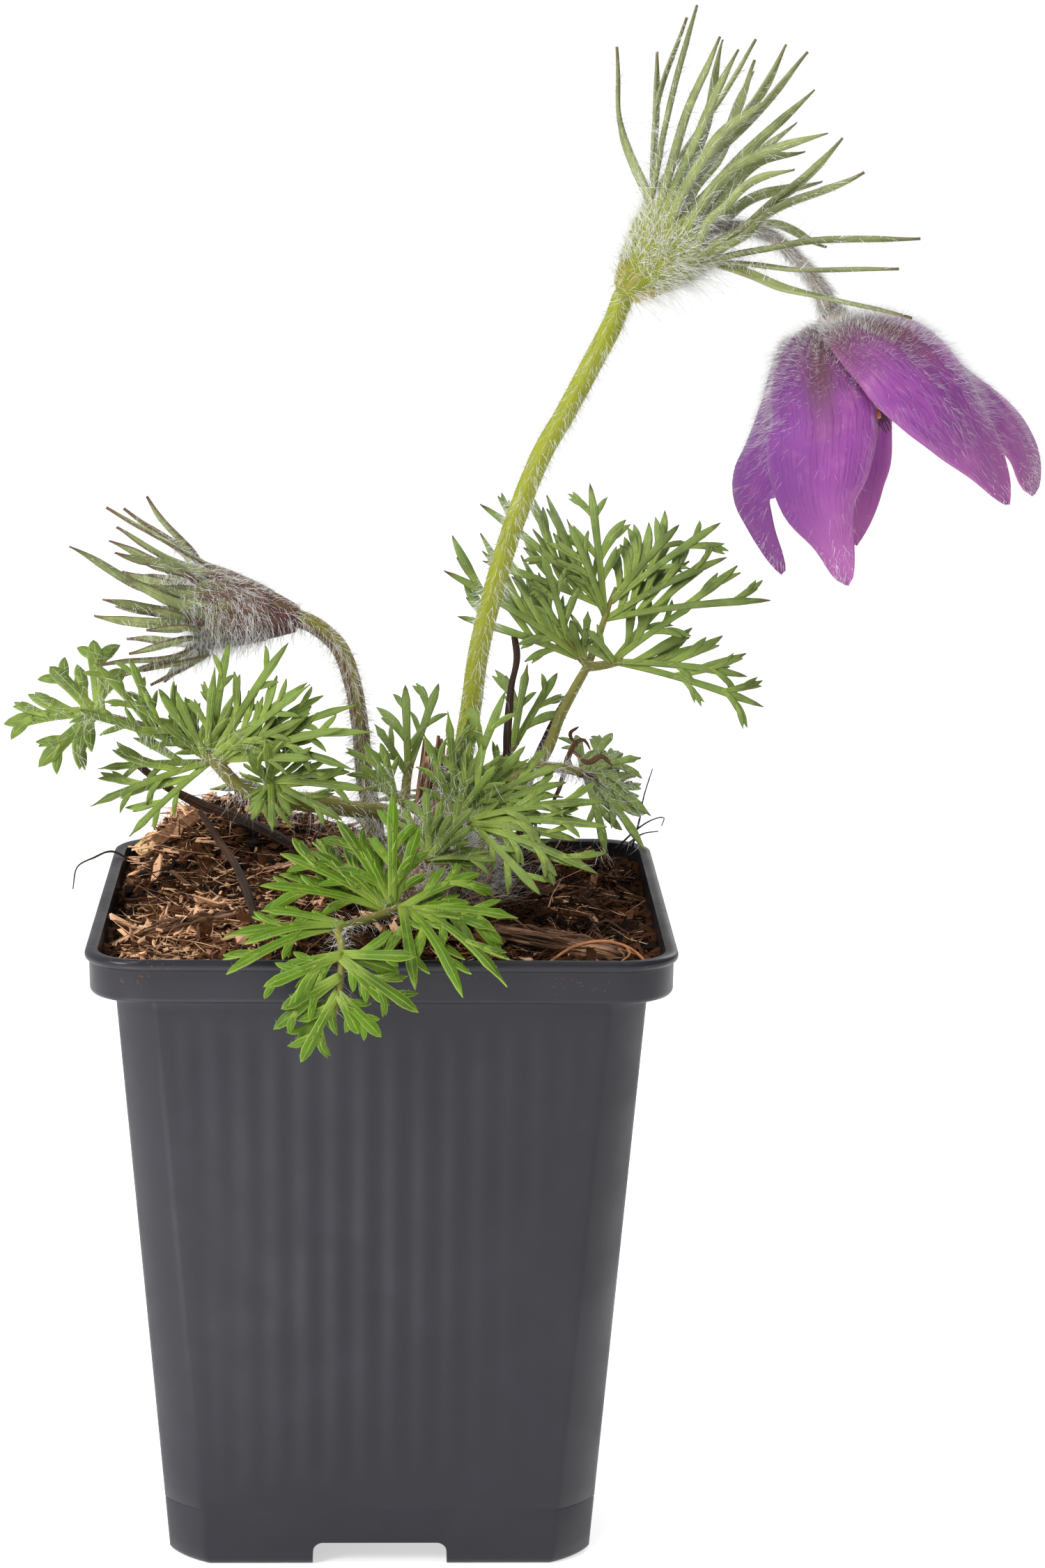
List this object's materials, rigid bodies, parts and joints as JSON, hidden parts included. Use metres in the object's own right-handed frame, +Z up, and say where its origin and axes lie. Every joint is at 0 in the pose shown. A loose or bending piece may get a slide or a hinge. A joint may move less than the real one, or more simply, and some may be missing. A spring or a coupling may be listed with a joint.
{
  "type": "potted pasque flower",
  "caption": "Pasque flower with a nodding violet bell, a hairy bud and divided leaves, in a square nursery pot.",
  "frame": {"origin": "centre of the pot's foot plane, on the round centre foot under the pot", "axes": "+Z up, +X to the right in the front view, towards the open flower; the front faces -Y"},
  "size_m": [0.1606, 0.1066, 0.2406],
  "materials": {
    "pot_plastic": "satin dark blue-grey moulded plastic",
    "potting_mix": "damp, crumbly, dark brown",
    "old_crown": "fibrous, matt",
    "scape_stalk": "soft, thinly haired",
    "involucre_green": "soft, silky haired",
    "pedicel_stalk": "felted with grey hair",
    "tepal_violet": "soft sheen, silky haired outside",
    "stamen_orange": "powdery",
    "style_purple": "satin",
    "bud_stalk": "soft, thinly haired",
    "bud_involucre": "silky haired",
    "bud_hair": "silky haired",
    "leaf_green": "soft satin",
    "leaf_bright": "soft satin",
    "leaf_dark": "soft satin",
    "dead_stalk": "dry, matt",
    "bark": "dry, fibrous",
    "brown_wood": "dry, fibrous",
    "root_orange": "dry, matt"
  },
  "bodies": {
    "root": {"pot": "pot_plastic", "soil": "potting_mix", "crown": "old_crown", "scape": "scape_stalk", "involucre": "involucre_green", "pedicel": "pedicel_stalk", "bloom_tepals": "tepal_violet", "bloom_stamens": "stamen_orange", "bloom_styles": "style_purple", "bud_stalk": "bud_stalk", "bud_involucre": "bud_involucre", "bud": "bud_hair", "leaf_right_rear": "leaf_dark", "leaf_left": "leaf_green", "leaf_front": "leaf_bright", "leaf_centre": "leaf_green", "leaf_right_low": "leaf_dark", "leaf_behind_left": "leaf_dark", "leaf_behind_right": "leaf_dark", "leaf_back": "leaf_green", "leaf_back_left": "leaf_green", "dead_stem_upright": "dead_stalk", "dead_stem_leaning": "dead_stalk", "dead_twig_long": "dead_stalk", "dead_twig_short": "dead_stalk", "bark_chip": "bark", "wood_chip": "brown_wood", "wood_splinter": "brown_wood", "root_front": "root_orange"}
  },
  "joints": []
}
